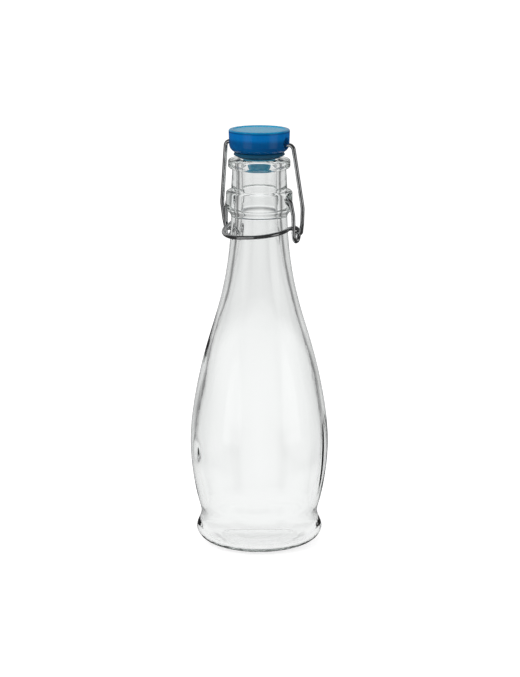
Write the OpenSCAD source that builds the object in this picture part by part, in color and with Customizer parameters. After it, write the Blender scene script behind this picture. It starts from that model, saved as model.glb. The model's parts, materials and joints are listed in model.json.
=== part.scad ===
// Swing top bottle: a clear glass bottle that a plastic stopper with a rubber
// washer closes, held by an upper wire bail and a lower wire lever.
// Units are millimetres. +Z is up and the origin is the middle of the base.
// The closure's two pivots lie along X, and the lever's handle is at -Y.

/* [Glass body] */
// Height of the glass, from the table to the top of its lip
glass_h = 201.6; // [168:0.1:242]
// Diameter of the ring that the bottle stands on
rest_d = 38.6; // [34:0.1:48]
// Width of the flat stripe that the bottle stands on
rest_w = 1.6; // [1:0.1:3]
// Widest diameter of the rounded foot
foot_d = 65.2; // [60:0.1:72]
// Height at which the foot is widest
foot_z = 8.3; // [7:0.1:10]
// Diameter of the waist above the foot
waist_d = 60.4; // [56:0.1:63]
// Height of the waist above the foot's widest place
waist_rise = 7.5; // [6:0.1:10]
// Diameter of the belly, the widest part of the bottle
belly_d = 71.4; // [59.5:0.1:85.7]
// Height at which the belly is widest
belly_z = 54; // [48:0.5:64]
// Diameter halfway up the shoulder
shoulder_d = 53.6; // [48:0.1:58]
// Height of that place on the shoulder
shoulder_z = 106; // [98:0.5:112]
// Diameter at the root of the neck
neck_root_d = 30.6; // [29.6:0.1:35]
// Wall thickness at the belly
wall = 2.7; // [2:0.1:4]
// Thickness of the glass in the rounded foot
foot_wall = 2.2; // [2:0.1:3.5]
// Height at which the inside of the foot is widest
foot_bore_z = 8.4; // [7.6:0.1:10]
// Height of the inside floor above the table
floor_z = 3; // [2.6:0.1:4.5]
// Diameter of the flat part of the inside floor
floor_d = 46; // [42:0.5:50]
// Rise of the hollow underneath the base
punt_h = 0.4; // [0.2:0.1:0.8]

/* [Neck and mouth] */
// Diameter of the mouth's bore
bore_d = 18.4; // [17:0.1:22.5]
// Bore at the root of the neck
neck_root_bore_d = 22.4; // [21:0.1:24]
// Outer diameter of the lip
lip_d = 31.7; // [29:0.1:33]
// Height of the lip
lip_h = 4.8; // [4:0.1:6]
// Radius of the lip's two edges
lip_round = 1.3; // [0.8:0.1:1.8]
// Radius of the rounding at the edge of the bore
mouth_round = 1; // [0.5:0.1:1.5]
// Neck diameter just under the lip
neck_top_d = 27.5; // [25:0.1:28.5]
// Neck diameter just above the collar
neck_low_d = 28.6; // [26:0.1:30]
// Diameter of the collar that carries the lever
collar_d = 33.9; // [31.5:0.1:41]
// Depth of the collar's top edge below the top of the lip
collar_drop = 16.1; // [15:0.1:18]
// Height of the collar's straight band
collar_band = 7.6; // [7:0.1:9]
// Radius of the collar's upper edge
collar_round = 1.5; // [0.8:0.1:2]
// Height of the slope under the collar
collar_slope = 4.6; // [3:0.1:6]

/* [Lever wire] */
// Diameter of both wires
wire_d = 2.1; // [1.75:0.05:2.5]
// Depth of the pivot axis below the top of the lip
pivot_drop = 20.2; // [19.6:0.1:21]
// Depth of each dimple in the collar
dimple_depth = 4.4; // [4:0.1:5]
// Diameter of the dimple's flared mouth on the collar
dimple_mouth_d = 7.4; // [6:0.1:8]
// Length of the dimple's straight bottom, which the wire turns in
dimple_seat = 1.7; // [1.2:0.1:2]
// Radius of the sharp bends at the pivots
pivot_bend_r = 2.2; // [1.8:0.1:3]
// Distance from the pivot axis down to the loop that holds the bail
lever_reach = 17.8; // [16:0.1:20]
// Distance that the loop's seat lies behind the pivot axis when shut
over_centre = 4.7; // [4:0.1:5.5]
// Free play of the bail's hook inside the lever's loop
loop_play = 1.3; // [1:0.1:1.6]
// How far each end of the handle's front stands outside the collar
handle_spread = 1.35; // [0.6:0.05:3]
// Distance of the handle in front of the pivot axis
handle_front = 17.6; // [17.2:0.1:20]
// Distance of the handle below the pivot axis
handle_low = 17.9; // [16:0.1:20]
// Rise of the handle's right end over its left, as the wire is bent by hand
handle_skew = 2.8; // [0:0.1:3]
// Radius of the handle's two wide bends
handle_bend_r = 14.4; // [12:0.1:14.6]

/* [Bail wire] */
// Gap between the stopper's head and the two sides of the bail beside it
bail_top_gap = 2.3; // [1.8:0.1:3.5]
// Gap between the lever's loops and the bail at its widest place
bail_spread = 1.35; // [0.9:0.05:3.5]
// Distance of that widest place below the stopper's cross bore
bail_wide_drop = 32.5; // [28:0.5:36]
// Radius of the bail's two bends beside the stopper
bail_bend_r = 2.6; // [2.2:0.1:3.4]
// Radius of the bends that form its two hooks
hook_bend_r = 1.6; // [1.4:0.1:1.8]
// How far each hook's tip stands inside the lever's loop
hook_tip = 1.6; // [1:0.1:1.8]

/* [Stopper and washer] */
// Diameter of the stopper's head
head_d = 31.2; // [29:0.1:32]
// Height of the stopper's head
head_h = 11.7; // [11:0.1:13]
// Diameter of the head just above its rounded lower edge
head_low_d = 30.7; // [29:0.1:31.1]
// Radius of the head's rounded lower edge
head_round = 4.2; // [2:0.1:4.8]
// Bevel around the top of the head
head_bevel = 0.8; // [0.4:0.1:1.2]
// Width of the raised rim around the top face
rim_w = 2.2; // [1.5:0.1:4]
// Depth of the top face inside its rim
rim_h = 0.35; // [0.2:0.05:1]
// Height of the cross bore above the underside of the head
cross_bore_rise = 4.5; // [4:0.1:6]
// Diameter of the two pockets in which the bail leaves the head
pocket_d = 5.4; // [5:0.1:6]
// Depth of each pocket
pocket_depth = 1.9; // [1:0.1:2.5]
// Diameter of the stem that carries the washer
stem_d = 12; // [10:0.1:13]
// How much narrower the plug is at its lower end
plug_taper = 4.2; // [0.6:0.1:5]
// Radius of the plug's rounded lower edge
plug_round = 3.4; // [2:0.1:4]
// Depth of the plug below the top of the lip when shut
plug_depth = 6; // [5:0.1:6.4]
// Thickness of the washer
washer_t = 2.8; // [2:0.1:3.4]
// Diameter of the washer where it is widest
washer_d = 26.1; // [25.8:0.1:28]
// Diameter of the washer at its top
washer_top_d = 25; // [23:0.1:25.6]
// Height of its widest place above its lower face
washer_edge = 1.4; // [1:0.1:1.8]
// How far its lower face reaches onto the flat of the lip
washer_lap = 0.4; // [0.2:0.1:0.8]

/* [Clearances] */
// Radial clearance of a wire in the bore that it turns in
turn_gap = 0.06; // [0.03:0.01:0.1]
// Gap between pieces that move past each other
move_gap = 0.3; // [0.2:0.05:0.4]
// Gap between the plug and the bore of the mouth
plug_gap = 1; // [0.8:0.1:1.6]
// Gap of the shut washer over the lip, which the over-centre snap takes up
seal_gap = 0.6; // [0.5:0.05:0.7]

/* [Hidden] */
$fn = 96;

wire_r = wire_d / 2;
bend_swell = 0.01;
lap = 0.05;

// Radii of the glass
rest_r = rest_d / 2;
foot_r = foot_d / 2;
waist_r = waist_d / 2;
waist_z = foot_z + waist_rise;
belly_r = belly_d / 2;
shoulder_r = shoulder_d / 2;
neck_root_r = neck_root_d / 2;
bore_r = bore_d / 2;
lip_r = lip_d / 2;
collar_r = collar_d / 2;

// Heights down from the lip
lip_z = glass_h - lip_h;
collar_top = glass_h - collar_drop;
collar_band_top = collar_top - collar_round;
collar_band_low = collar_band_top - collar_band;
collar_low = collar_band_low - collar_slope;
neck_root_z = glass_h - 45.6;
neck_low_r = 14.3;

// Where the wires turn
pivot = [0, 0, glass_h - pivot_drop];
hook_seat = pivot + [0, over_centre, -lever_reach];
head_z = glass_h + seal_gap + washer_t;
cross_bore = [0, 0, head_z + cross_bore_rise];
turn_r = wire_r + turn_gap;
plug_d = bore_d - 2 * plug_gap;
plug_low_d = plug_d - plug_taper;
washer_low_r = bore_r + mouth_round + washer_lap;
bail_top_half_w = head_d / 2 + bail_top_gap + wire_r;

// The bail lies in a plane that leans back from the cross bore to the hooks
bail_l = norm(cross_bore - hook_seat);
bail_lean = asin(over_centre / bail_l);

// ---- Curves ----

// Cubic between two stations [height, radius, slope], at t from 0 to 1
function cubic(a, b, t) =
    (2 * pow(t, 3) - 3 * pow(t, 2) + 1) * a[1]
    + (pow(t, 3) - 2 * pow(t, 2) + t) * (b[0] - a[0]) * a[2]
    + (3 * pow(t, 2) - 2 * pow(t, 3)) * b[1]
    + (pow(t, 3) - pow(t, 2)) * (b[0] - a[0]) * b[2];

// Points [radius, height] along a list of stations, about one every step
function curve(stations, step) = [
    for (i = [0 : len(stations) - 2])
        let (a = stations[i], b = stations[i + 1], n = max(2, ceil((b[0] - a[0]) / step)))
            for (k = [0 : n - 1]) [cubic(a, b, k / n), a[0] + (b[0] - a[0]) * k / n]
];

// Points of an arc in the [radius, height] plane
function arc(centre, rx, rz, from, to, n) = [
    for (k = [0 : n])
        let (t = from + (to - from) * k / n)
            centre + [rx * cos(t), rz * sin(t)]
];

function reversed(list) = [for (i = [len(list) - 1 : -1 : 0]) list[i]];

// A turned solid whose seam is at the back, clear of the holes along X
module revolve() {
    rotate([0, 0, 90])
        rotate_extrude()
            children();
}

// ---- Round wire through corners [point, bend radius] ----

function unit(v) = v / norm(v);
function turn_angle(a, b) = acos(max(-1, min(1, unit(a) * unit(b))));

// Length that a bend takes from each side of corner i
function bend_cut(path, i) =
    (i == 0 || i == len(path) - 1) ? 0
    : path[i][1] * tan(turn_angle(path[i][0] - path[i - 1][0], path[i + 1][0] - path[i][0]) / 2);

// A straight stretch is a hair thinner than the bends, and its ends lap into them
module straight(from, to, lap_before, lap_after) {
    v = unit(to - from);
    translate(from - v * lap_before)
        rotate([0, acos(v[2]), atan2(v[1], v[0])])
            cylinder(r = wire_r - bend_swell, h = norm(to - from) + lap_before + lap_after);
}

module bend(before, corner, after, bend_r) {
    a = unit(corner - before);
    b = unit(after - corner);
    angle = turn_angle(a, b);
    centre = corner + unit(b - a) * bend_r / cos(angle / 2);
    side = unit(corner - a * bend_r * tan(angle / 2) - centre);
    normal = cross(side, a);
    multmatrix([
        [side[0], a[0], normal[0], centre[0]],
        [side[1], a[1], normal[1], centre[1]],
        [side[2], a[2], normal[2], centre[2]],
        [0, 0, 0, 1]
    ])
        rotate_extrude(angle = angle)
            translate([bend_r, 0])
                circle(r = wire_r);
}

module wire(path) {
    last = len(path) - 2;
    for (i = [0 : last]) {
        v = unit(path[i + 1][0] - path[i][0]);
        straight(
            path[i][0] + v * bend_cut(path, i),
            path[i + 1][0] - v * bend_cut(path, i + 1),
            i == 0 ? 0 : lap,
            i == last ? 0 : lap
        );
    }
    for (i = [1 : len(path) - 2])
        bend(path[i - 1][0], path[i][0], path[i + 1][0], path[i][1]);
}

// A path and its mirror image across X, joined at the middle
function mirrored(half) = concat(
    [for (p = reversed(half)) [[-p[0][0], p[0][1], p[0][2]], p[1]]],
    half
);

// ---- Sub-parts ----

// Outline of the glass outside, from the standing ring up to the collar
function outside() = concat(
    arc([rest_r + rest_w / 2, foot_z], foot_r - rest_r - rest_w / 2, foot_z, -90, 0, 9),
    curve([
        [foot_z, foot_r, 0],
        [foot_z + 0.4 * waist_rise, (foot_r + waist_r) / 2 + 0.3, -0.42],
        [waist_z, waist_r, 0.05],
        [waist_z + 5.5, waist_r + 1.05, 0.3],
        [waist_z + 13, waist_r + 2.85, 0.23],
        [belly_z, belly_r, 0],
        [shoulder_z, shoulder_r, -0.285],
        [neck_root_z, neck_root_r, -0.085],
        [collar_low, neck_low_r, -0.04]
    ], 4)
);

// Outline of the collar, the neck above it and the lip
function finish() = concat(
    curve([
        [collar_low, neck_low_r, 0.1],
        [collar_low + 0.6 * collar_slope, collar_r - 1.2, 0.9],
        [collar_band_low, collar_r, 0]
    ], 0.8),
    arc([collar_r - collar_round, collar_band_top], collar_round, collar_round, 0, 90, 5),
    [[neck_low_d / 2 + 0.5, collar_top], [neck_low_d / 2, collar_top + 0.5]],
    [[neck_top_d / 2, lip_z - 0.6]],
    [[neck_top_d / 2 + 0.6, lip_z]],
    arc([lip_r - lip_round, lip_z + lip_round], lip_round, lip_round, -90, 0, 5),
    arc([lip_r - lip_round, glass_h - lip_round], lip_round, lip_round, 0, 90, 5)
);

// Outline of the hollow, from the mouth's bore down to the middle of the floor
function inside() = concat(
    arc([bore_r + mouth_round, glass_h - mouth_round], mouth_round, mouth_round, 90, 180, 4),
    reversed(curve([
        [foot_bore_z, foot_r - foot_wall, 0],
        [waist_z, waist_r - wall + 0.6, -0.1],
        [waist_z + 9.5, waist_r - wall + 1.6, 0.27],
        [belly_z, belly_r - wall, 0],
        [shoulder_z, shoulder_r - wall - 0.3, -0.285],
        [neck_root_z, neck_root_bore_d / 2, -0.09],
        [collar_top, bore_r, 0],
        [collar_top + 1, bore_r, 0]
    ], 4)),
    reversed(arc([floor_d / 2, foot_bore_z], foot_r - foot_wall - floor_d / 2, foot_bore_z - floor_z, -90, -6, 9)),
    [[0, floor_z + 0.5]]
);

function underside() = [
    [0, punt_h],
    [rest_r * 0.45, punt_h * 0.86],
    [rest_r * 0.75, punt_h * 0.5],
    [rest_r * 0.9, punt_h * 0.15],
    [rest_r - rest_w / 2, 0]
];

// A dimple in the collar: a straight seat for the wire's end under a flared mouth
module dimple() {
    bottom = collar_r - dimple_depth;
    flare = dimple_depth - dimple_seat;
    translate([bottom, 0, pivot[2]])
        rotate([0, 90, 0]) {
            cylinder(r = turn_r, h = dimple_seat + 0.01);
            translate([0, 0, dimple_seat])
                cylinder(r1 = turn_r, r2 = dimple_mouth_d / 2, h = flare);
            translate([0, 0, dimple_seat + flare])
                cylinder(r = dimple_mouth_d / 2, h = 3);
        }
}

module bottle() {
    color([0.86, 0.92, 0.92, 0.35])
        difference() {
            revolve()
                polygon(concat(underside(), outside(), finish(), inside()));
            dimple();
            mirror([1, 0, 0]) dimple();
        }
}

// Outline of the stopper, from the middle of its plug up to the middle of its top
function stopper_outline() = let (
    plug_z = glass_h - plug_depth,
    seat_z = glass_h + seal_gap - 0.1,
    low_r = head_low_d / 2,
    top_z = head_z + head_h
) concat(
    [[0, plug_z]],
    arc([plug_low_d / 2 - plug_round, plug_z + plug_round], plug_round, plug_round, -90, 0, 6),
    [[plug_d / 2, glass_h - 0.8], [plug_d / 2, seat_z - 0.4], [plug_d / 2 - 0.4, seat_z]],
    [[stem_d / 2, seat_z], [stem_d / 2, head_z]],
    arc([low_r - head_round, head_z + head_round], head_round, head_round, -90, 0, 6),
    [[head_d / 2, top_z - head_bevel - 0.4]],
    arc([head_d / 2 - head_bevel, top_z - head_bevel], head_bevel, head_bevel, 0, 90, 4),
    [[head_d / 2 - rim_w, top_z], [head_d / 2 - rim_w - 0.5, top_z - rim_h], [0, top_z - rim_h]]
);

// A pocket at the end of the cross bore, a little above it, where the bail comes out
module pocket() {
    translate([head_d / 2 - pocket_depth, 0, cross_bore[2] + 0.9])
        rotate([0, 90, 0])
            cylinder(d = pocket_d, h = pocket_depth + 1);
}

module stopper() {
    color([0.0, 0.36, 0.68])
        difference() {
            revolve()
                polygon(stopper_outline());
            translate([-head_d, 0, cross_bore[2]])
                rotate([0, 90, 0])
                    cylinder(r = turn_r, h = 2 * head_d);
            pocket();
            mirror([1, 0, 0]) pocket();
        }
}

// The washer grips the stem under the head, and narrows like a cone towards the mouth
module washer() {
    low_z = glass_h + seal_gap;
    edge_z = low_z + washer_edge;
    color([0.02, 0.13, 0.2])
        revolve()
            polygon([
                [stem_d / 2 + 0.05, low_z],
                [washer_low_r - 0.3, low_z],
                [washer_low_r, low_z + 0.15],
                [washer_d / 2 - 0.3, edge_z - 0.25],
                [washer_d / 2, edge_z + 0.1],
                [washer_d / 2, edge_z + 0.5],
                [washer_top_d / 2, head_z],
                [stem_d / 2 + 0.05, head_z]
            ]);
}

// Corner of the bail, x across and s down its own leaning plane
function on_bail(x, s) = cross_bore + [x, s * sin(bail_lean), -s * cos(bail_lean)];

// The lever's loop: its middle sits below and in front of the hook that it holds
loop_r = wire_d + loop_play;
loop_shift = loop_play - move_gap;
loop_mid = hook_seat + loop_shift * [0, -cos(25), -sin(25)];
loop_x = collar_r + wire_r + 1.45;
loop_back_x = loop_x - 0.4;

// The hook's leg passes outside the loop
hook_x = loop_back_x + wire_d + move_gap / 2;
bail_half_w = loop_x + wire_d + bail_spread;

module bail_wire() {
    color([0.42, 0.44, 0.45])
        wire(mirrored([
            [on_bail(bail_top_half_w, 0), bail_bend_r],
            [on_bail(bail_half_w, bail_wide_drop), 14],
            [on_bail(bail_half_w - 0.7, bail_l - 5.3), 5],
            [on_bail(hook_x, bail_l + 0.2), hook_bend_r],
            [on_bail(loop_back_x - wire_r - hook_tip, bail_l - 0.3), 0]
        ]));
}

// One side of the lever, from its end in the dimple to where the handle begins
function lever_side() = [
    [pivot + [collar_r - dimple_depth + move_gap, 0, 0], 0],
    [pivot + [loop_x - 1.9, 0, 0], pivot_bend_r],
    [pivot + [loop_x - 0.4, loop_mid[1] - loop_r - 0.2, -7.9], 8],
    [[loop_x, loop_mid[1] - loop_r, loop_mid[2] - loop_r], 0.96 * loop_r],
    [[loop_back_x, loop_mid[1] + loop_r, loop_mid[2] - loop_r], 0.96 * loop_r],
    [[loop_back_x - 0.2, loop_mid[1] + loop_r, loop_mid[2] + loop_r], 0.96 * loop_r],
    [[loop_x - wire_d - 0.6, loop_mid[1] - loop_r - 0.3, loop_mid[2] + loop_r], 5]
];

module lever_wire() {
    side = lever_side();
    front = [collar_r + handle_spread, -handle_front, 0];
    right = pivot + front + [0, 0, -handle_low + handle_skew / 2];
    left = pivot + [-front[0], front[1], -handle_low - handle_skew / 2];
    color([0.42, 0.44, 0.45])
        wire(concat(
            [for (p = side) [[-p[0][0], p[0][1], p[0][2]], p[1]]],
            [[left, handle_bend_r], [right, handle_bend_r]],
            reversed(side)
        ));
}

bottle();
stopper();
washer();
bail_wire();
lever_wire();
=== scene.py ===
# %% [markdown]
# # Swing top bottle
# A swing top bottle is five pieces: the glass, a plastic stopper, a rubber washer and two bent wires.
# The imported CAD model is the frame. It holds every size and place and everything that moves, and the
# cells below give each piece its look: smooth turned surfaces, clear glass, moulded plastic and
# bright wire.

# %% Open the frame
import json
import math

import bpy
import numpy as np
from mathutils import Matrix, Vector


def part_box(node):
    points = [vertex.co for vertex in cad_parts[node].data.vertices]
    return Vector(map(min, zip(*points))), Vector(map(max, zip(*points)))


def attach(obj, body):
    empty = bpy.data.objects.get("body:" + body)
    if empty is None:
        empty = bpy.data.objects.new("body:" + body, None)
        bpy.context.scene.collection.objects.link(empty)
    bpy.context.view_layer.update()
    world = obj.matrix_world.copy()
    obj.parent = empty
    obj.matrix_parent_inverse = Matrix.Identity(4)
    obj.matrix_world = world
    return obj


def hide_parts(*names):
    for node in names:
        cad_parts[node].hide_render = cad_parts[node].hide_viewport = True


MM = 0.001
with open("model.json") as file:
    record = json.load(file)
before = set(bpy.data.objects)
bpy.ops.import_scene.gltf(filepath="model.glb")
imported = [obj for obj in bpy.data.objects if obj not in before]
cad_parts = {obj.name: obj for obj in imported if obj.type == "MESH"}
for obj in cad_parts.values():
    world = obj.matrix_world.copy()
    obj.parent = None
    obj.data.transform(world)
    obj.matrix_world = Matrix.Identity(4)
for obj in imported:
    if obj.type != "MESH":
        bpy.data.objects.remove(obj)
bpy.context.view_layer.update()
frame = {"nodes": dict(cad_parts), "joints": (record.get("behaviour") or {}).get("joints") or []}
scene = bpy.context.scene
scene.view_settings.view_transform = "Standard"
print("CAD nodes:", sorted(frame["nodes"]))


# %% [markdown]
# ## Places that the frame gives
# The joints say where the wires turn, and the boxes of the CAD nodes say how high the glass and the
# stopper are. Reading them here keeps the visual pieces on the CAD ones if a size changes.

# %% Measure the frame
joint_place = {joint["name"]: np.array(joint["pos_m"]) / MM for joint in frame["joints"]}
pivot = joint_place["lever_swing"]
cross_bore = joint_place["stopper_tilt"]
glass_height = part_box("bottle")[1].z / MM
belly_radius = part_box("bottle")[1].x / MM
stopper_low, stopper_top = (corner.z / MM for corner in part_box("stopper"))
head_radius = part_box("stopper")[1].x / MM
washer_low, washer_top = (corner.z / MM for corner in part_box("washer"))
washer_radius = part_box("washer")[1].x / MM
wire_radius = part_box("bail_wire")[1].z / MM - cross_bore[2]
print(f"glass {glass_height:.1f} mm high, belly {2 * belly_radius:.1f} mm, wire {2 * wire_radius:.2f} mm")


# %% [markdown]
# ## Camera
# A long lens from 1.3 m keeps the bottle's sides nearly upright. The camera stands a little to the
# right of the handle and looks slightly down, so that the top of the stopper and the ellipse of the
# base both show.

# %% Place the camera
VIEW_AZIMUTH = math.radians(26)
VIEW_ELEVATION = math.radians(12.4)
VIEW_DISTANCE = 1300 * MM
VIEW_TARGET_HEIGHT = 107.9 * MM
LENS_MM = 133.9
SHIFT_RIGHT = 0.0011

camera_data = bpy.data.cameras.new("camera")
camera_data.lens = LENS_MM
camera_data.shift_x = SHIFT_RIGHT
camera = bpy.data.objects.new("camera", camera_data)
scene.collection.objects.link(camera)
level = VIEW_DISTANCE * math.cos(VIEW_ELEVATION)
camera.location = (
    level * math.sin(VIEW_AZIMUTH),
    -level * math.cos(VIEW_AZIMUTH),
    VIEW_TARGET_HEIGHT + VIEW_DISTANCE * math.sin(VIEW_ELEVATION),
)
camera.rotation_euler = (math.pi / 2 - VIEW_ELEVATION, 0, VIEW_AZIMUTH)
scene.camera = camera
print("camera at", [round(v, 3) for v in camera.location])


# %% [markdown]
# ## Background and light
# Clear glass shows only what stands around it. White panels make it glow, and dark gaps between them
# draw its edges, which is how a studio lights glass. So the world holds three things: plain light for
# whatever is not clear, four white panels with dark gaps for the rays that pass through glass, and a
# dark room with a pale grey wall and two round lights for the rays that mirror off a surface. The
# camera itself sees only white.

# %% Helpers for shader nodes
def new_material(name):
    """Returns a new node material, its node tree and its output node."""
    material = bpy.data.materials.new(name)
    material.use_nodes = True
    tree = material.node_tree
    tree.nodes.clear()
    return material, tree, tree.nodes.new("ShaderNodeOutputMaterial")


def add_node(tree, kind, inputs=None, **settings):
    """Adds a node. Inputs are plain values or sockets to link, and settings are the node's own."""
    node = tree.nodes.new(kind)
    for key, value in settings.items():
        setattr(node, key, value)
    for key, value in (inputs or {}).items():
        if isinstance(value, bpy.types.NodeSocket):
            tree.links.new(value, node.inputs[key])
        else:
            node.inputs[key].default_value = value
    return node


def maths(tree, operation, a, b=0.0, clamp=False):
    """Adds a Math node and returns its output."""
    return add_node(tree, "ShaderNodeMath", {0: a, 1: b}, operation=operation, use_clamp=clamp).outputs[0]


def ramp(tree, value, start, end, low, high):
    """Goes smoothly from low to high while the value goes from start to end, and stays level beyond."""
    inputs = {"Value": value, "From Min": start, "From Max": end, "To Min": low, "To Max": high}
    return add_node(tree, "ShaderNodeMapRange", inputs, interpolation_type="SMOOTHSTEP").outputs["Result"]


# %% Four white panels, as glass sees them
SOFT_START, SOFT_END = math.radians(4), math.radians(20)
SOFT_WHITE = 0.90
GAP_START, GAP_END = math.radians(24), math.radians(47)
GAP_GREY = 0.2
QUARTER_TURN = math.pi / 2


def panels(tree, direction):
    """Brightness of the four panels round the bottle. The direction's angle is folded into quarter
    turns, which gives the angle from the nearest panel's middle. The light falls a little from the
    middle to the panel's edge, and then fast to the grey of the gap."""
    parts = add_node(tree, "ShaderNodeSeparateXYZ", {0: direction})
    angle = maths(tree, "ARCTAN2", parts.outputs["Y"], parts.outputs["X"])
    turned = maths(tree, "ADD", angle, QUARTER_TURN / 2 - VIEW_AZIMUTH)
    in_quarter = maths(tree, "FLOORED_MODULO", turned, QUARTER_TURN)
    from_middle = maths(tree, "ABSOLUTE", maths(tree, "SUBTRACT", in_quarter, QUARTER_TURN / 2))
    soft = ramp(tree, from_middle, SOFT_START, SOFT_END, 1.0, SOFT_WHITE)
    gap = ramp(tree, from_middle, GAP_START, GAP_END, 1.0, GAP_GREY)
    return maths(tree, "MULTIPLY", soft, gap)


# %% A dark room, as a mirror sees it
ROOM_GREY = 0.05
WALL_GREY = 0.5
WALL_EDGE = math.cos(math.radians(62))
WALL_BLUR = 0.12
SIDE_AZIMUTHS = [-46, 56]
SIDE_EDGE = math.cos(math.radians(14))
SIDE_BLUR_OUT, SIDE_BLUR_IN = 0.02, 0.004
SIDE_WHITE = 0.8
BEHIND = 180


def toward(tree, direction, azimuth):
    """How squarely a direction points at a level azimuth in degrees from the camera's side: the dot
    product of the two, so 1 is straight at it and 0 is square across."""
    turn = VIEW_AZIMUTH + math.radians(azimuth)
    aim = (math.sin(turn), -math.cos(turn), 0)
    product = add_node(tree, "ShaderNodeVectorMath", {0: direction, 1: aim}, operation="DOT_PRODUCT")
    return product.outputs["Value"]


def side_lights(tree, direction):
    """Brightness of two round lights, one at either side of the camera: full within 13 degrees of a
    light's middle, nothing past 18 degrees from it, and a smooth fall between."""
    low, high = SIDE_EDGE - SIDE_BLUR_OUT, SIDE_EDGE + SIDE_BLUR_IN
    left, right = [
        ramp(tree, toward(tree, direction, azimuth), low, high, 0.0, SIDE_WHITE)
        for azimuth in SIDE_AZIMUTHS
    ]
    return maths(tree, "ADD", left, right)


def mirror_room(tree, direction):
    """Brightness of a dark room: a pale grey wall behind the bottle, plus the two side lights."""
    low, high = WALL_EDGE - WALL_BLUR, WALL_EDGE + WALL_BLUR
    wall = ramp(tree, toward(tree, direction, BEHIND), low, high, ROOM_GREY, WALL_GREY)
    return maths(tree, "ADD", wall, side_lights(tree, direction))


# %% World
ROOM_LIGHT = 0.65
CEILING_START, CEILING_END = 0.15, 0.55
CEILING_GREY = 0.30

world = bpy.data.worlds.new("studio")
scene.world = world
world.use_nodes = True
tree = world.node_tree
tree.nodes.clear()
direction = add_node(tree, "ShaderNodeTexCoord").outputs["Generated"]
height = add_node(tree, "ShaderNodeSeparateXYZ", {0: direction}).outputs["Z"]
ceiling = ramp(tree, height, CEILING_START, CEILING_END, 1.0, CEILING_GREY)
paths = add_node(tree, "ShaderNodeLightPath")


def pick(tree, is_kind, value, otherwise):
    """The first value on rays of that kind, and the second on all others."""
    chosen = add_node(tree, "ShaderNodeMix", {0: is_kind, 2: otherwise, 3: value}, data_type="FLOAT")
    return chosen.outputs[0]


through = maths(tree, "MULTIPLY", panels(tree, direction), ceiling)
strength = pick(tree, paths.outputs["Is Glossy Ray"], mirror_room(tree, direction), ROOM_LIGHT)
strength = pick(tree, paths.outputs["Is Transmission Ray"], through, strength)
strength = pick(tree, paths.outputs["Is Camera Ray"], 1.0, strength)
room = add_node(tree, "ShaderNodeBackground", {"Color": (1, 1, 1, 1), "Strength": strength})
tree.links.new(room.outputs[0], add_node(tree, "ShaderNodeOutputWorld").inputs["Surface"])
print("world: panels, mirror room and plain light")


# %% Long paths through glass
# Light that enters the rounded edge of the foot is thrown to and fro inside it before it leaves. With
# short paths those places would come out black.
MOST_BOUNCES = 24
MOST_MIRRORED = 16
scene.cycles.max_bounces = MOST_BOUNCES
scene.cycles.glossy_bounces = MOST_MIRRORED
scene.cycles.transmission_bounces = MOST_BOUNCES
print("light paths:", MOST_BOUNCES, "bounces,", MOST_MIRRORED, "of them mirrored")


# %% [markdown]
# ## Floor
# A floor of white paper takes the shadow, so it is plain diffuse paper with a glow that lifts it to
# white. What glass and wire show of it is made apart. Through the glass it is white near the bottle,
# and further out it carries the four panels on, a little darker than the world, so that hardly a line
# shows where the two meet. Mirrored in the wires it is dark near the bottle, and further out it
# carries the two side lights on.

# %% Floor
FLOOR_RADIUS = 6.0
FLOOR_DIFFUSE = 0.6
FLOOR_GLOW = 0.72
FLOOR_GLOSS = 0.06
FLOOR_FAR_GREY = 0.85
# Each reach is a pair of distances from the bottle in metres.
WHITE_REACH = (0.1, 0.35)
DARK_REACH = (0.35, 0.5)
FALL_REACH = (0.5, 0.75)

corners = [(-FLOOR_RADIUS, -FLOOR_RADIUS, 0), (FLOOR_RADIUS, -FLOOR_RADIUS, 0)]
corners += [(FLOOR_RADIUS, FLOOR_RADIUS, 0), (-FLOOR_RADIUS, FLOOR_RADIUS, 0)]
floor_mesh = bpy.data.meshes.new("floor")
floor_mesh.from_pydata(corners, [], [(0, 1, 2, 3)])
floor = bpy.data.objects.new("floor", floor_mesh)
scene.collection.objects.link(floor)

material, tree, output = new_material("floor")
place = add_node(tree, "ShaderNodeTexCoord").outputs["Object"]
paths = add_node(tree, "ShaderNodeLightPath")
reach = add_node(tree, "ShaderNodeVectorMath", {0: place}, operation="LENGTH").outputs["Value"]
near = ramp(tree, reach, *WHITE_REACH, 1.0, 0.0)
falling = ramp(tree, reach, *FALL_REACH, 1.0, FLOOR_FAR_GREY)
seen_through = maths(tree, "MULTIPLY", maths(tree, "MAXIMUM", panels(tree, place), near), falling)
outward = add_node(tree, "ShaderNodeVectorMath", {0: place}, operation="NORMALIZE").outputs[0]
far = ramp(tree, reach, *DARK_REACH, 0.0, 1.0)
mirrored = maths(tree, "ADD", maths(tree, "MULTIPLY", side_lights(tree, outward), far), FLOOR_GLOSS)
glow = pick(tree, paths.outputs["Is Transmission Ray"], seen_through, mirrored)
glow = pick(tree, paths.outputs["Is Camera Ray"], FLOOR_GLOW, glow)
light = add_node(tree, "ShaderNodeEmission", {"Color": (1, 1, 1, 1), "Strength": glow}).outputs[0]
paper = add_node(tree, "ShaderNodeBsdfDiffuse", {"Color": (FLOOR_DIFFUSE,) * 3 + (1,)}).outputs[0]

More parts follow.
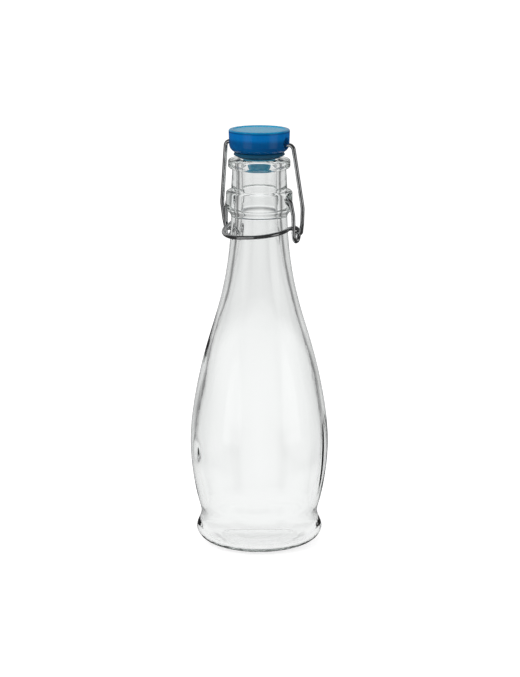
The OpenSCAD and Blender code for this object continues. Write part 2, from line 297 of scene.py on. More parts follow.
# The paper is there for the camera and for diffuse rays, and the glow for all but diffuse rays.
on_paper = maths(tree, "MAXIMUM", paths.outputs["Is Camera Ray"], paths.outputs["Is Diffuse Ray"])
on_glow = maths(tree, "SUBTRACT", 1.0, paths.outputs["Is Diffuse Ray"])
shown = add_node(tree, "ShaderNodeMixShader", {0: on_paper, 2: paper}).outputs[0]
lit = add_node(tree, "ShaderNodeMixShader", {0: on_glow, 2: light}).outputs[0]
both = add_node(tree, "ShaderNodeAddShader", {0: shown, 1: lit}).outputs[0]
tree.links.new(both, output.inputs["Surface"])
floor_mesh.materials.append(material)
print("floor:", 2 * FLOOR_RADIUS, "m wide,", len(tree.nodes), "nodes")


# %% Lamps
def softbox(name, azimuth, elevation, distance, size, power):
    """An area lamp that faces the middle of the bottle, at angles in degrees from the camera's side. Its
    place is the distance turned through both angles. It lights the plastic, and stays out of mirrored
    and bent rays, which have the world's own lights."""
    data = bpy.data.lights.new(name, "AREA")
    data.shape = "RECTANGLE"
    data.size, data.size_y = size
    data.energy = power
    lamp = bpy.data.objects.new(name, data)
    lamp.visible_glossy = False
    lamp.visible_transmission = False
    scene.collection.objects.link(lamp)
    turn = VIEW_AZIMUTH + math.radians(azimuth)
    rise = math.radians(elevation)
    lamp.location = (
        distance * math.cos(rise) * math.sin(turn),
        -distance * math.cos(rise) * math.cos(turn),
        VIEW_TARGET_HEIGHT + distance * math.sin(rise),
    )
    lamp.rotation_euler = (math.pi / 2 - rise, 0, turn)
    print(f"{name} lamp: {power} W at {azimuth} degrees")


softbox("key", azimuth=-48, elevation=38, distance=0.9, size=(0.45, 0.7), power=3.6)
softbox("fill", azimuth=55, elevation=25, distance=1.0, size=(0.4, 0.7), power=1.8)


# %% [markdown]
# ## Turned surfaces
# Glass, stopper and washer are all made by turning: a mould or a lathe sweeps one outline round an
# axis. So one helper sweeps an outline of (radius, height) points round Z, and pushes dents into it
# where a wire enters from the side. The columns stand closer together at the two dents. All lengths
# are in millimetres until the mesh is made.

# %% A smooth curve through a few stations
def smooth_curve(stations, start_slope, end_slope, step):
    """Cubic spline of radius against height, through stations of (height, radius): between two of them
    each piece is a cubic in height, and the bends are chosen by a linear solve so that slope and
    curvature run on without a jump."""
    z, r = np.array(stations, float).T
    gap = np.diff(z)
    rise = np.diff(r) / gap
    count = len(z)
    system = np.zeros((count, count))
    right = np.zeros(count)
    inner = np.arange(1, count - 1)
    system[inner, inner - 1] = gap[:-1]
    system[inner, inner] = 2 * (gap[:-1] + gap[1:])
    system[inner, inner + 1] = gap[1:]
    right[inner] = 6 * np.diff(rise)
    system[0, :2] = 2 * gap[0], gap[0]
    right[0] = 6 * (rise[0] - start_slope)
    system[-1, -2:] = gap[-1], 2 * gap[-1]
    right[-1] = 6 * (end_slope - rise[-1])
    bend = np.linalg.solve(system, right)
    height = np.linspace(z[0], z[-1], max(2, int(abs(z[-1] - z[0]) / step)))
    i = np.clip(np.searchsorted(z, height) - 1, 0, count - 2)
    above, below = z[i + 1] - height, height - z[i]
    radius = (bend[i] * above**3 + bend[i + 1] * below**3) / (6 * gap[i])
    radius += (r[i] / gap[i] - bend[i] * gap[i] / 6) * above
    radius += (r[i + 1] / gap[i] - bend[i + 1] * gap[i] / 6) * below
    return np.stack([radius, height], 1)


def arc(centre, radii, start, end, steps=8):
    """Points on an ellipse, from one angle in degrees to another: the centre plus each radius times the
    cosine and the sine of the angle."""
    angle = np.radians(np.linspace(start, end, steps + 1))
    return np.array(centre) + np.stack([radii[0] * np.cos(angle), radii[1] * np.sin(angle)], 1)


def line(start, end, step=1.0):
    """Evenly spaced points on a straight line, both ends included."""
    start, end = np.array(start, float), np.array(end, float)
    steps = max(1, int(np.ceil(np.linalg.norm(end - start) / step)))
    return start + (end - start) * np.linspace(0, 1, steps + 1)[:, None]


def joined(*pieces):
    """One outline from several, without the doubled points where they meet."""
    points = np.concatenate([np.asarray(piece, float) for piece in pieces])
    keep = np.r_[True, np.linalg.norm(np.diff(points, axis=0), axis=1) > 1e-3]
    return points[keep]


# %% Sweep an outline round the axis
def columns(fine_half_angle, fine_step, coarse_step):
    """Angles in radians all the way round, close together near +X and -X and wider apart between."""
    fine = np.arange(-fine_half_angle, fine_half_angle, fine_step)
    count = int(round((180 - 2 * fine_half_angle) / coarse_step))
    coarse = np.linspace(fine_half_angle, 180 - fine_half_angle, count, endpoint=False)
    half = np.concatenate([fine, coarse])
    return np.radians(np.concatenate([half, half + 180]))


def turned_piece(name, outline, angles, dent=None):
    """Each outline point (r, z) becomes a ring of points (r cos t, r sin t, z). A dent function takes
    radius, angle, height and row number and gives how far to push each point in. An outline that
    starts and ends on the axis closes with two poles, and any other is a closed loop."""
    capped = outline[0, 0] < 1e-6
    rows = outline[1:-1] if capped else outline
    radius = np.repeat(rows[:, 0:1], len(angles), 1)
    height = np.repeat(rows[:, 1:2], len(angles), 1)
    if dent is not None:
        radius = radius - dent(radius, angles[None, :], height, np.arange(len(rows))[:, None])
    points = np.stack([radius * np.cos(angles), radius * np.sin(angles), height], 2).reshape(-1, 3)

    row_count, column_count = radius.shape
    i = np.arange(row_count - 1 if capped else row_count)[:, None]
    j = np.arange(column_count)[None, :]
    after_i, after_j = (i + 1) % row_count, (j + 1) % column_count
    here, above = i * column_count, after_i * column_count
    quads = np.stack([here + j, here + after_j, above + after_j, above + j], 2)
    faces = quads.reshape(-1, 4).tolist()
    if capped:
        poles = np.array([[0, 0, outline[0, 1]], [0, 0, outline[-1, 1]]])
        first, last = len(points), len(points) + 1
        points = np.concatenate([points, poles])
        ring, after = j[0], after_j[0]
        top = (row_count - 1) * column_count
        faces += np.stack([np.full(column_count, first), after, ring], 1).tolist()
        faces += np.stack([np.full(column_count, last), top + ring, top + after], 1).tolist()

    mesh = bpy.data.meshes.new(name)
    mesh.from_pydata((points * MM).tolist(), [], faces)
    mesh.polygons.foreach_set("use_smooth", np.ones(len(mesh.polygons), bool))
    mesh.update()
    piece = bpy.data.objects.new(name, mesh)
    scene.collection.objects.link(piece)
    triangles = sum(len(polygon.vertices) - 2 for polygon in mesh.polygons)
    print(f"{name}: {row_count} rows, {column_count} columns, {triangles} triangles")
    return piece


# %% [markdown]
# ## Glass bottle
# The bottle is blown in a mould, so it is one closed skin: up the outside, over the lip, down the
# bore and round the hollow. It is swept as one outline, because light only bends rightly through
# glass whose two faces belong to one solid. The mould forms the outside, and only air forms the
# inside, so the inner skin wanders a little, and it has two single marks low on the belly. The glass
# of the foot is thin and follows the outside, because thick glass there would act as a strong lens.

# %% Sizes of the glass
WALL = 2.7
REST_RADIUS = 19.3
REST_WIDTH = 1.6
FOOT_RADIUS = 32.6
FOOT_HEIGHT = 8.3
PUNT_HEIGHT = 0.4
FLOOR_HEIGHT = 3.0
FLOOR_RISE = 0.5
FLOOR_FLAT_RADIUS = 23.0
FOOT_BORE_HEIGHT = 8.4
FOOT_BORE_RADIUS = 30.4
BORE_RADIUS = 9.2
MOUTH_ROUND = 1.0
LIP_RADIUS = 15.85
LIP_HEIGHT = 4.8
LIP_ROUND = 1.3
LIP_FILLET = 0.8
NECK_TOP_RADIUS = 13.75
NECK_LOW_RADIUS = 14.3
COLLAR_RADIUS = 16.95
COLLAR_DROP = 16.1
COLLAR_BAND = 7.6
COLLAR_SLOPE = 4.6
COLLAR_BEND_SHARE = 0.6
COLLAR_BEND_RADIUS = 15.75
COLLAR_ROUND = 1.5
COLLAR_FILLET = 0.6

lip_low = glass_height - LIP_HEIGHT
collar_top = glass_height - COLLAR_DROP
band_top = collar_top - COLLAR_ROUND
band_low = band_top - COLLAR_BAND
collar_low = band_low - COLLAR_SLOPE
collar_bend = collar_low + COLLAR_BEND_SHARE * COLLAR_SLOPE
bore_low = collar_top + 1
rest_inner = REST_RADIUS - REST_WIDTH / 2
rest_outer = REST_RADIUS + REST_WIDTH / 2
print(f"collar from {collar_low:.1f} to {collar_top:.1f} mm, lip from {lip_low:.1f} mm")

# %% Outside of the glass
punt_stations = [(0, 1.0), (8.7, 0.86), (14.5, 0.5), (rest_inner, 0.0)]
punt_stations = [(radius, share * PUNT_HEIGHT) for radius, share in punt_stations]
punt = smooth_curve(punt_stations, start_slope=0, end_slope=-0.35, step=1.5)[:, ::-1]
foot = arc((rest_outer, FOOT_HEIGHT), (FOOT_RADIUS - rest_outer, FOOT_HEIGHT), -90, 0, 18)
body_stations = [
    (FOOT_HEIGHT, FOOT_RADIUS),
    (11.3, 31.7),
    (15.8, 30.2),
    (21.3, 31.25),
    (28.8, 33.05),
    (54, belly_radius),
    (80, 32.9),
    (106, 26.8),
    (128, 20.3),
    (156, 15.3),
    (collar_low, NECK_LOW_RADIUS),
]
body = smooth_curve(body_stations, start_slope=0, end_slope=-0.04, step=1.6)
slope_stations = [(collar_low, NECK_LOW_RADIUS), (collar_bend, COLLAR_BEND_RADIUS)]
slope_stations += [(band_low, COLLAR_RADIUS)]
slope = smooth_curve(slope_stations, start_slope=0.1, end_slope=0, step=0.3)
finish = joined(
    slope,
    line((COLLAR_RADIUS, band_low), (COLLAR_RADIUS, band_top), 0.2),
    arc((COLLAR_RADIUS - COLLAR_ROUND, band_top), (COLLAR_ROUND, COLLAR_ROUND), 0, 80),
    arc(
        (NECK_LOW_RADIUS + COLLAR_FILLET, collar_top + COLLAR_FILLET),
        (COLLAR_FILLET, COLLAR_FILLET),
        270,
        180,
        4,
    ),
    line((NECK_LOW_RADIUS, collar_top + 2 * COLLAR_FILLET), (NECK_TOP_RADIUS, lip_low - LIP_FILLET), 2),
    arc((NECK_TOP_RADIUS + LIP_FILLET, lip_low - LIP_FILLET), (LIP_FILLET, LIP_FILLET), 180, 90, 5),
    arc((LIP_RADIUS - LIP_ROUND, lip_low + LIP_ROUND), (LIP_ROUND, LIP_ROUND), -90, 0),
    arc((LIP_RADIUS - LIP_ROUND, glass_height - LIP_ROUND), (LIP_ROUND, LIP_ROUND), 0, 90),
)
outer_skin = joined(punt, [(rest_inner, 0)], foot, body, finish)
print(len(outer_skin), "points up the outside")

# %% Inside of the glass
mouth = joined(
    arc((BORE_RADIUS + MOUTH_ROUND, glass_height - MOUTH_ROUND), (MOUTH_ROUND, MOUTH_ROUND), 90, 180, 6),
    line((BORE_RADIUS, glass_height - MOUTH_ROUND), (BORE_RADIUS, bore_low), 1.5),
)
hollow_stations = [
    (FOOT_BORE_HEIGHT, FOOT_BORE_RADIUS),
    (15.8, 28.1),
    (25.3, 29.1),
    (54, belly_radius - WALL),
    (80, 29.9),
    (106, 23.8),
    (128, 17.1),
    (156, 11.2),
    (collar_top, BORE_RADIUS),
    (bore_low, BORE_RADIUS),
]
hollow = smooth_curve(hollow_stations, start_slope=0, end_slope=0, step=1.6)[::-1]
bowl_radii = (FOOT_BORE_RADIUS - FLOOR_FLAT_RADIUS, FOOT_BORE_HEIGHT - FLOOR_HEIGHT)
bowl = arc((FLOOR_FLAT_RADIUS, FOOT_BORE_HEIGHT), bowl_radii, 0, -90, 16)
inside_floor = line((FLOOR_FLAT_RADIUS, FLOOR_HEIGHT), (0, FLOOR_HEIGHT + FLOOR_RISE), 2)
glass_outline = joined(outer_skin, mouth, hollow, bowl, inside_floor)
print(len(glass_outline) - len(outer_skin), "points down the inside")


# %% The two dimples in the collar
DIMPLE_DISTANCE = [0, 1.11, 1.2, 3.3, 3.7, 4.1]
DIMPLE_DEPTH = [4.4, 4.4, 2.65, 0.35, 0.1, 0]


def dimples(radius, angle, height):
    """How far the collar is pushed in: a function of the distance from the pivot axis along X. A narrow
    hole for the wire stands in the middle of a wide round dimple."""
    distance = np.hypot(radius * np.sin(angle), height - pivot[2])
    return np.interp(distance, DIMPLE_DISTANCE, DIMPLE_DEPTH)


# %% Waves and marks of the inner skin
WAVE_DEPTH = 0.24
WAVE_HEIGHTS = [20, 40, 120, 150]
# Each wave: bumps in a turn, mm of height for a radian (below zero it winds the other way), where it
# starts in radians, and its share of the depth.
WAVES = [(2, 16, 0.6, 0.5), (3, -11, 2.0, 0.3), (5, 7, 0.0, 0.2)]
# Each mark: angle in degrees, and height, half width, half length and depth in mm.
MARKS = [(-132, 51, 2.6, 3.6, 0.75), (10, 50, 2.4, 11, 0.55)]


def waves(angle, height):
    """How far the inner skin wanders: three cosines that wind round the bottle at different rates,
    faded out towards the floor and the neck."""
    fade = np.interp(height, WAVE_HEIGHTS, [0, 1, 1, 0])
    total = 0
    for bumps, pitch, start, share in WAVES:
        total = total + share * np.cos(bumps * angle + height / pitch + start)
    return WAVE_DEPTH * fade * total


def marks(angle, height):
    """How far the inner skin stands in towards the axis at the single marks: a bell curve for each, over
    the distance across and the distance along."""
    total = 0
    for at_angle, at_height, width, length, depth in MARKS:
        turn = np.mod(angle - math.radians(at_angle) + math.pi, 2 * math.pi) - math.pi
        across, along = turn * belly_radius / width, (height - at_height) / length
        total = total + depth * np.exp(-(across**2) - along**2)
    return total


def glass_dent(radius, angle, height, row):
    """Dimples on the rows of the outer skin, and waves and marks on those of the inner skin."""
    outside = row < len(outer_skin) - 1
    return np.where(outside, dimples(radius, angle, height), waves(angle, height) + marks(angle, height))


# %% The bottle
bottle_columns = columns(fine_half_angle=15, fine_step=0.6, coarse_step=3.0)
bottle = turned_piece("glass_bottle", glass_outline, bottle_columns, glass_dent)
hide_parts("bottle")
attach(bottle, "bottle")


# %% [markdown]
# ## Two effects that the materials share
# No moulded or drawn surface is quite even. Two node groups give that: one puts out a slow mottle,
# which shifts a colour or a gloss and lifts the surface a little, and the other gives fine scuffs
# from handling, which make it rougher. Each material sets their size and strength for its own stuff.

# %% Node group helper
def new_group(name, inputs, outputs):
    """Returns an empty shader node group with its input and output nodes. Inputs are (name, value)."""
    group = bpy.data.node_groups.new(name, "ShaderNodeTree")
    group.interface.new_socket("Position", in_out="INPUT", socket_type="NodeSocketVector")
    for label, value in inputs:
        socket = group.interface.new_socket(label, in_out="INPUT", socket_type="NodeSocketFloat")
        socket.default_value = value
    for label in outputs:
        group.interface.new_socket(label, in_out="OUTPUT", socket_type="NodeSocketFloat")
    return group, group.nodes.new("NodeGroupInput").outputs, group.nodes.new("NodeGroupOutput").inputs


def use_group(tree, group, position, **values):
    """Places a group in a material and returns its outputs."""
    node = tree.nodes.new("ShaderNodeGroup")
    node.node_tree = group
    tree.links.new(position, node.inputs["Position"])
    for label, value in values.items():
        node.inputs[label].default_value = value
    return node.outputs


# %% Mottle
CLOUD_DETAIL = 3.0
CLOUD_ROUGHNESS = 0.55
CLOUD_LOW, CLOUD_HIGH = 0.3, 0.7

mottle_inputs = [("Scale", 100), ("Low", 0.0), ("High", 1.0)]
mottle, given, wanted = new_group("mottle", mottle_inputs, ["Value", "Height"])
noise = add_node(
    mottle,
    "ShaderNodeTexNoise",
    {
        "Vector": given["Position"],
        "Scale": given["Scale"],
        "Detail": CLOUD_DETAIL,
        "Roughness": CLOUD_ROUGHNESS,
    },
)
spread = add_node(
    mottle,
    "ShaderNodeMapRange",
    {
        "Value": noise.outputs[0],
        "From Min": CLOUD_LOW,
        "From Max": CLOUD_HIGH,
        "To Min": given["Low"],
        "To Max": given["High"],
    },
)
mottle.links.new(spread.outputs["Result"], wanted["Value"])
mottle.links.new(noise.outputs[0], wanted["Height"])
print("mottle:", len(mottle.nodes), "nodes")

# %% Scuffs
PATCH_SCALE = 140.0
PATCH_DETAIL = 2.0
PATCH_LOW, PATCH_HIGH = 0.5, 0.68
SCRATCH_WIDTH = 0.05

scuffs, given, wanted = new_group("scuffs", [("Scale", 900), ("Amount", 0.1)], ["Value"])
patch_inputs = {"Vector": given["Position"], "Scale": PATCH_SCALE, "Detail": PATCH_DETAIL}
patches = add_node(scuffs, "ShaderNodeTexNoise", patch_inputs)
cell_inputs = {"Vector": given["Position"], "Scale": given["Scale"]}
cells = add_node(scuffs, "ShaderNodeTexVoronoi", cell_inputs, feature="DISTANCE_TO_EDGE")
thin = ramp(scuffs, cells.outputs[0], 0.0, SCRATCH_WIDTH, 1.0, 0.0)
patchy = ramp(scuffs, patches.outputs[0], PATCH_LOW, PATCH_HIGH, 0.0, 1.0)
scratched = maths(scuffs, "MULTIPLY", thin, patchy)
scuffs.links.new(maths(scuffs, "MULTIPLY", scratched, given["Amount"]), wanted["Value"])
print("scuffs:", len(scuffs.nodes), "nodes")


# %% Helpers that every material uses
def stretched(tree, x, y, z):
    """Object coordinates multiplied along each axis. A pattern runs long where the factor is small."""
    place = add_node(tree, "ShaderNodeTexCoord").outputs["Object"]
    return add_node(tree, "ShaderNodeMapping", {"Vector": place, "Scale": (x, y, z)}).outputs[0]


def bumped(tree, height, distance_mm):
    """A normal that leans as if the height, from 0 to 1, were a relief of that many millimetres."""
    inputs = {"Height": height, "Strength": 1.0, "Distance": distance_mm * MM}
    return add_node(tree, "ShaderNodeBump", inputs).outputs[0]


def blended(tree, factor, low, high):
    """The colour at low where the factor is 0 and the colour at high where it is 1."""
    node = add_node(tree, "ShaderNodeMix", {0: factor, 6: low, 7: high}, data_type="RGBA")
    return node.outputs[2]


# %% [markdown]
# ## Clear glass
# Clear bottle glass bends light with an index of 1.52 and takes a little of it, more where the path
# through it is long. So its colour lies mostly in the volume and hardly in the skin. The skin has slow
# ripples from the mould, too shallow to see but enough to bend the lines behind it.

# %% Glass material
GLASS_SKIN = (0.985, 0.99, 0.988, 1)
GLASS_INSIDE = (0.80, 0.86, 0.84, 1)
GLASS_DENSITY = 14.0
GLASS_INDEX = 1.52
RIPPLE_MM = 0.12

material, tree, output = new_material("clear_glass")
ripple = use_group(tree, mottle, stretched(tree, 1, 1, 0.5), Scale=75)
glass = add_node(
    tree,
    "ShaderNodeBsdfPrincipled",
    {
        "Base Color": GLASS_SKIN,
        "Roughness": 0.0,
        "IOR": GLASS_INDEX,
        "Transmission Weight": 1.0,
        "Normal": bumped(tree, ripple["Height"], RIPPLE_MM),
    },
)
tint_inputs = {"Color": GLASS_INSIDE, "Density": GLASS_DENSITY}
tint = add_node(tree, "ShaderNodeVolumeAbsorption", tint_inputs)
tree.links.new(glass.outputs[0], output.inputs["Surface"])
tree.links.new(tint.outputs[0], output.inputs["Volume"])
bottle.data.materials.append(material)
print("clear_glass:", len(tree.nodes), "nodes")


# %% [markdown]
# ## Stopper
# The head and the plug are one moulding. A wire passes through the head, and leaves it in two round
# pockets in its sides. The top has a shallow round panel inside a raised rim, left bare.

# %% Outline of the stopper
RIM_WIDTH = 2.2
RIM_ROUND = 0.2
PANEL_DEPTH = 0.35
HEAD_BEVEL = 0.9
HEAD_LOW_RADIUS = 15.35
HEAD_ROUND = 4.2
STEM_RADIUS = 6.0
PLUG_RADIUS = 8.2
PLUG_DROP = 0.8
PLUG_EDGE = 0.4
PLUG_LOW_RADIUS = 6.1
PLUG_ROUND = 3.4

plug_top = washer_low - 0.2
head_round_top = washer_top + HEAD_ROUND
bevel_low = stopper_top - HEAD_BEVEL
panel_edge = head_radius - RIM_WIDTH
panel_height = stopper_top - PANEL_DEPTH
stopper_outline = joined(
    [(0, stopper_low)],
    line((1, stopper_low), (PLUG_LOW_RADIUS - PLUG_ROUND, stopper_low), 1.5),
    arc((PLUG_LOW_RADIUS - PLUG_ROUND, stopper_low + PLUG_ROUND), (PLUG_ROUND, PLUG_ROUND), -90, 0),
    line((PLUG_LOW_RADIUS, stopper_low + PLUG_ROUND), (PLUG_RADIUS, glass_height - PLUG_DROP), 1),
    arc((PLUG_RADIUS - PLUG_EDGE, plug_top - PLUG_EDGE), (PLUG_EDGE, PLUG_EDGE), 0, 90, 4),
    line((PLUG_RADIUS - PLUG_EDGE, plug_top), (STEM_RADIUS, washer_low - 0.1), 1),
    line((STEM_RADIUS, washer_low), (STEM_RADIUS, washer_top), 1),
    line((STEM_RADIUS + 0.2, washer_top), (HEAD_LOW_RADIUS - HEAD_ROUND, washer_top), 1),
    arc((HEAD_LOW_RADIUS - HEAD_ROUND, head_round_top), (HEAD_ROUND, HEAD_ROUND), -90, 0, 10),
    line((HEAD_LOW_RADIUS, head_round_top), (head_radius, bevel_low), 0.2),
    arc((head_radius - HEAD_BEVEL, bevel_low), (HEAD_BEVEL, HEAD_BEVEL), 0, 90, 8),
    line((head_radius - HEAD_BEVEL, stopper_top), (panel_edge, stopper_top), 0.5),
    arc((panel_edge, stopper_top - RIM_ROUND), (RIM_ROUND, RIM_ROUND), 90, 180, 3),
    line((panel_edge - 0.25, panel_height), (1, panel_height), 2),
    [(0, panel_height)],
)
print(len(stopper_outline), "points in the stopper outline")

# %% The two pockets and the cross bore
POCKET_RISE = 0.9
POCKET_RADIUS = 2.7
POCKET_EDGE = 0.15
POCKET_DEPTH = 2.0
BORE_EDGES = [0, 1.1, 1.25]
BORE_DEPTH = 3.0
POCKETS_BEYOND = HEAD_LOW_RADIUS - 1.5


def pockets(radius, angle, height, row):
    """How far the head is pushed in, on any row: a flat-bottomed round pocket, and the cross bore inside
    it. Both are functions of the distance from an axis along X."""
    side = radius * np.sin(angle)
    pocket = np.hypot(side, height - cross_bore[2] - POCKET_RISE)
    bore = np.hypot(side, height - cross_bore[2])
    edges = [0, POCKET_RADIUS - POCKET_EDGE, POCKET_RADIUS + POCKET_EDGE]
    depth = np.interp(pocket, edges, [POCKET_DEPTH, POCKET_DEPTH, 0])
    depth = depth + np.interp(bore, BORE_EDGES, [BORE_DEPTH, BORE_DEPTH, 0])
    return np.where(radius > POCKETS_BEYOND, depth, 0.0)


# %% The stopper
stopper_columns = columns(fine_half_angle=13, fine_step=0.65, coarse_step=3.0)
stopper = turned_piece("blue_stopper", stopper_outline, stopper_columns, pockets)
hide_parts("stopper")
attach(stopper, "stopper")


# %% [markdown]
# ## Blue plastic
# The stopper is moulded in a translucent blue. The top panel is painted lighter and greener, with painted
# light from above and a patchy painted sheen, the brim of the head with painted light, and the plug is a
# lighter blue raised with painted light. The brim has a painted shade line along its upper edge. Faint
# level streaks show how the plastic flowed round the mould.

# %% Colours of the blue plastic
SIDE_BLUE = (0.0, 0.090, 0.270, 1)
STREAK_BLUE = (0.0, 0.060, 0.205, 1)
# Painted light: the upper band of the head's side is painted this lighter blue.
BRIM_PAINTED_LIGHT_BLUE = (0.0, 0.145, 0.44, 1)
# Painted light and painted sheen: the top panel is painted this light cyan, as if lit from above.
PANEL_PAINTED_LIGHT_BLUE = (0.005, 0.33, 0.56, 1)
# The plug's lighter blue, raised with painted light that stands in for the light reaching it through the
# neck.
PLUG_BLUE_AND_PAINTED_LIGHT = (0.05, 0.40, 0.62, 1)
# Each span runs from one distance below the stopper's top to another, in mm. The panel's edge is
# measured inwards from the head's side instead.
BRIM_SPAN = (6.0, 3.6)
PAINTED_SHADE_LINE_SPAN = (1.7, 1.0)
# This span holds the painted shade line just under the top edge.
TOP_SPAN = (1.0, 0.3)
PANEL_EDGE_SPAN = (2.6, 1.6)
PLUG_FADE = 0.5
# Shares of the painted light and sheen of the top, on the rim and in the panel.
RIM_PAINTED_LIGHT_SHARE = 0.45
PANEL_PAINTED_LIGHT_SHARE = 0.75


def below_top(tree, height, span, low, high):
    """A ramp from low to high over a span of distances below the stopper's top."""
    start, end = ((stopper_top - distance) * MM for distance in span)
    return ramp(tree, height, start, end, low, high)


material, tree, output = new_material("blue_plastic")
place = add_node(tree, "ShaderNodeTexCoord").outputs["Object"]
parts = add_node(tree, "ShaderNodeSeparateXYZ", {0: place})
height = parts.outputs["Z"]
level = add_node(tree, "ShaderNodeCombineXYZ", {0: parts.outputs["X"], 1: parts.outputs["Y"]})
reach = add_node(tree, "ShaderNodeVectorMath", {0: level.outputs[0]}, operation="LENGTH").outputs["Value"]
flow = use_group(tree, mottle, stretched(tree, 0.35, 0.35, 2.2), Scale=170)
cloud = use_group(tree, mottle, place, Scale=95)

side = blended(tree, flow["Value"], STREAK_BLUE, SIDE_BLUE)
# Painted light on the upper band of the side.
painted_light_brim = below_top(tree, height, BRIM_SPAN, 0.0, 1.0)
# A painted shade line just under the top edge, where the darker side blue stays.
painted_shade_line = below_top(tree, height, PAINTED_SHADE_LINE_SPAN, 1.0, 0.0)
side = blended(tree, maths(tree, "MULTIPLY", painted_light_brim, painted_shade_line), side, BRIM_PAINTED_LIGHT_BLUE)
on_top = below_top(tree, height, TOP_SPAN, 0.0, 1.0)
panel_start, panel_end = ((head_radius - distance) * MM for distance in PANEL_EDGE_SPAN)
in_panel = ramp(tree, reach, panel_start, panel_end, 1.0, RIM_PAINTED_LIGHT_SHARE)
# Painted light and a patchy painted sheen on the top, full in the panel and less on the rim.
painted_top_light = maths(tree, "MULTIPLY", on_top, in_panel)
painted_top_light_patches = maths(tree, "MULTIPLY", painted_top_light, maths(tree, "ADD", PANEL_PAINTED_LIGHT_SHARE, cloud["Value"]))
colour = blended(tree, painted_top_light_patches, side, PANEL_PAINTED_LIGHT_BLUE)
# The plug takes its lighter blue with painted light.
in_plug = ramp(tree, height, (washer_low - PLUG_FADE) * MM, washer_low * MM, 1.0, 0.0)
colour = blended(tree, in_plug, colour, PLUG_BLUE_AND_PAINTED_LIGHT)
print("blue_plastic colours:", len(tree.nodes), "nodes")

# %% Gloss and glow of the blue plastic
PLASTIC_ROUGHNESS = 0.14
CLOUD_SHARE = 0.08
PLASTIC_GLOSS = 0.25
PLASTIC_RELIEF_MM = 0.012
GLOW_SHARE = 0.25
GLOW_DEPTH = 2 * MM
# Red light stops at once in the plastic, and blue light goes furthest.
GLOW_COLOURS = (0.02, 0.6, 1.0)

wear = use_group(tree, scuffs, place, Scale=700, Amount=0.05)
roughness = maths(tree, "ADD", maths(tree, "MULTIPLY", cloud["Value"], CLOUD_SHARE), wear["Value"])
plastic = add_node(
    tree,
    "ShaderNodeBsdfPrincipled",
    {
        "Base Color": colour,
        "Roughness": maths(tree, "ADD", roughness, PLASTIC_ROUGHNESS),
        "Specular IOR Level": PLASTIC_GLOSS,
        "Subsurface Weight": GLOW_SHARE,
        "Subsurface Radius": GLOW_COLOURS,
        "Subsurface Scale": GLOW_DEPTH,
        "Normal": bumped(tree, cloud["Height"], PLASTIC_RELIEF_MM),
    },
)
tree.links.new(plastic.outputs[0], output.inputs["Surface"])
stopper.data.materials.append(material)
print("blue_plastic:", len(tree.nodes), "nodes")


# %% [markdown]
# ## Washer
# A soft ring that grips the stem under the head. Below its widest edge it narrows like a cone, so
# that it centres itself in the mouth as the wires pull it down.

# %% Outline of the washer
WASHER_LOW_RADIUS = 10.6
WASHER_LOW_ROUND = 0.35
WASHER_TOP_RADIUS = 12.5
WASHER_EDGE = 1.4
WASHER_EDGE_ROUND = 0.5
STEM_GAP = 0.05

washer_bore = STEM_RADIUS + STEM_GAP
edge_height = washer_low + WASHER_EDGE
low_centre = (WASHER_LOW_RADIUS - WASHER_LOW_ROUND, washer_low + WASHER_LOW_ROUND)
edge_centre = (washer_radius - WASHER_EDGE_ROUND, edge_height + 0.3)
washer_outline = joined(
    line((washer_bore, washer_low), (WASHER_LOW_RADIUS - 0.3, washer_low), 1),
    arc(low_centre, (WASHER_LOW_ROUND, WASHER_LOW_ROUND), -90, -30, 4),
    arc(edge_centre, (WASHER_EDGE_ROUND, WASHER_EDGE_ROUND), -35, 15, 6),
    line((WASHER_TOP_RADIUS + 0.15, washer_top - 0.35), (WASHER_TOP_RADIUS, washer_top), 0.3),
    line((WASHER_TOP_RADIUS - 0.2, washer_top), (washer_bore, washer_top), 1),
    line((washer_bore, washer_top - 0.2), (washer_bore, washer_low + 0.2), 1),
)
print(len(washer_outline), "points in the washer outline")

# %% The washer
washer_columns = columns(fine_half_angle=15, fine_step=3.0, coarse_step=3.0)
washer = turned_piece("rubber_washer", washer_outline, washer_columns)
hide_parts("washer")
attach(washer, "stopper")


# %% [markdown]
# ## Dark rubber
# The washer is a matt rubber, dyed dark to go with the blue. A slow bloom shifts its colour and a fine
# grain breaks up its gloss.

# %% Rubber material
RUBBER_DARK = (0.001, 0.050, 0.105, 1)
RUBBER_LIGHT = (0.003, 0.080, 0.160, 1)
RUBBER_ROUGHNESS = 0.55
RUBBER_GLOSS = 0.35
RUBBER_RELIEF_MM = 0.02

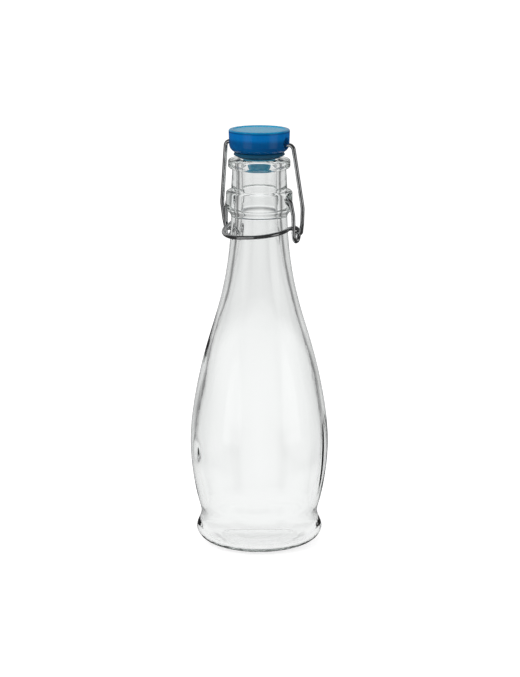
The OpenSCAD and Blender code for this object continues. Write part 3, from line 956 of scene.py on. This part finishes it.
material, tree, output = new_material("dark_rubber")
place = add_node(tree, "ShaderNodeTexCoord").outputs["Object"]
bloom = use_group(tree, mottle, place, Scale=180)
grain = use_group(tree, mottle, place, Scale=2600, Low=-0.05, High=0.05)
rubber = add_node(
    tree,
    "ShaderNodeBsdfPrincipled",
    {
        "Base Color": blended(tree, bloom["Value"], RUBBER_DARK, RUBBER_LIGHT),
        "Roughness": maths(tree, "ADD", grain["Value"], RUBBER_ROUGHNESS),
        "Specular IOR Level": RUBBER_GLOSS,
        "Normal": bumped(tree, grain["Height"], RUBBER_RELIEF_MM),
    },
)
tree.links.new(rubber.outputs[0], output.inputs["Surface"])
washer.data.materials.append(material)
print("dark_rubber:", len(tree.nodes), "nodes")


# %% [markdown]
# ## Wires
# Both wires keep their CAD shapes. Drawing the wire through a die leaves it bright, with fine lines
# along its length and slow changes of grey where it was bent and handled. The wires run mostly
# upright, so the lines are stretched along the height.

# %% Wire material
STEEL_DARK = (0.42, 0.425, 0.43, 1)
STEEL_LIGHT = (0.66, 0.665, 0.67, 1)
STEEL_ROUGHNESS = 0.2
POLISH = -0.08
STEEL_RELIEF_MM = 0.004

material, tree, output = new_material("steel_wire")
drawn = use_group(tree, mottle, stretched(tree, 1, 1, 0.06), Scale=3000, Low=-0.05, High=0.06)
patina = use_group(tree, mottle, stretched(tree, 1, 1, 1), Scale=220)
wear = use_group(tree, scuffs, stretched(tree, 1, 1, 0.5), Scale=1400, Amount=0.08)
roughness = maths(tree, "MULTIPLY", patina["Value"], POLISH)
roughness = maths(tree, "ADD", maths(tree, "ADD", roughness, drawn["Value"]), wear["Value"])
steel = add_node(
    tree,
    "ShaderNodeBsdfPrincipled",
    {
        "Base Color": blended(tree, patina["Value"], STEEL_DARK, STEEL_LIGHT),
        "Metallic": 1.0,
        "Roughness": maths(tree, "ADD", roughness, STEEL_ROUGHNESS),
        "Normal": bumped(tree, drawn["Height"], STEEL_RELIEF_MM),
    },
)
tree.links.new(steel.outputs[0], output.inputs["Surface"])
for name in ("bail_wire", "lever_wire"):
    wire = frame["nodes"][name]
    for slot in wire.material_slots:
        slot.material = material
    print(name, len(wire.data.polygons), "faces")
